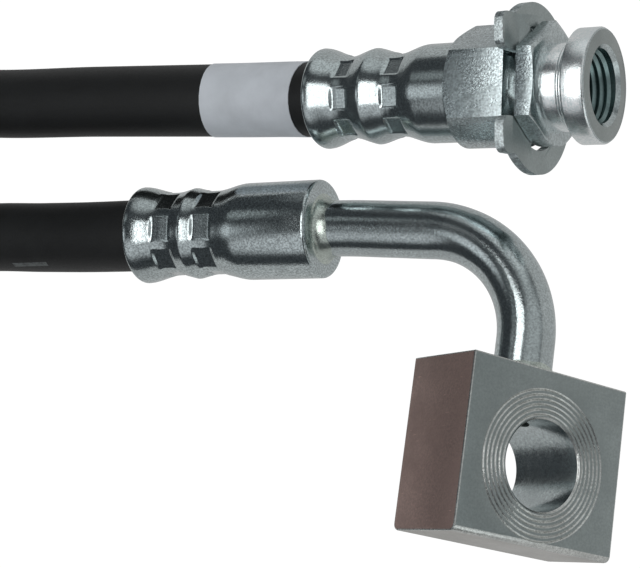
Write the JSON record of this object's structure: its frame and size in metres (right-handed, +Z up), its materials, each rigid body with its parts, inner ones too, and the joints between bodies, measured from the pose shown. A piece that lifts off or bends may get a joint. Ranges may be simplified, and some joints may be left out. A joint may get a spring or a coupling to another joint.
{
  "type": "brake line",
  "caption": "Rubber brake hose with a hex port fitting and retaining clip on one end, and on the other a crimped shell, a bent steel tube and a block for a hollow bolt.",
  "frame": {"origin": "middle of the metal ends' box, on the ground the line lies on", "axes": "+Z up; both crimped ends point to +X and the bent tube's leg runs to -Y; the hose's loop lies towards -X"},
  "size_m": [0.2374, 0.1125, 0.0321],
  "materials": {
    "hose_rubber": "matt, finely ribbed lengthwise",
    "label_film": "matt, faintly wrinkled",
    "zinc_fitting": "zinc plated, grainy on the hex flats",
    "zinc_shell": "zinc plated",
    "zinc_tube": "bright zinc plated",
    "zinc_block": "satin zinc plated",
    "clip_steel": "zinc plated, dull",
    "inner_steel": "plain",
    "braze": "bright plated fillet"
  },
  "bodies": {
    "root": {"hose": "hose_rubber", "label_band": "label_film", "port_fitting": "zinc_fitting", "port_nipple": "inner_steel", "retaining_clip": "clip_steel", "elbow_shell": "zinc_shell", "elbow_nipple": "inner_steel", "elbow_tube": "zinc_tube", "banjo_block": "zinc_block", "braze_ring_shell": "braze", "braze_ring_block": "braze"}
  },
  "joints": []
}
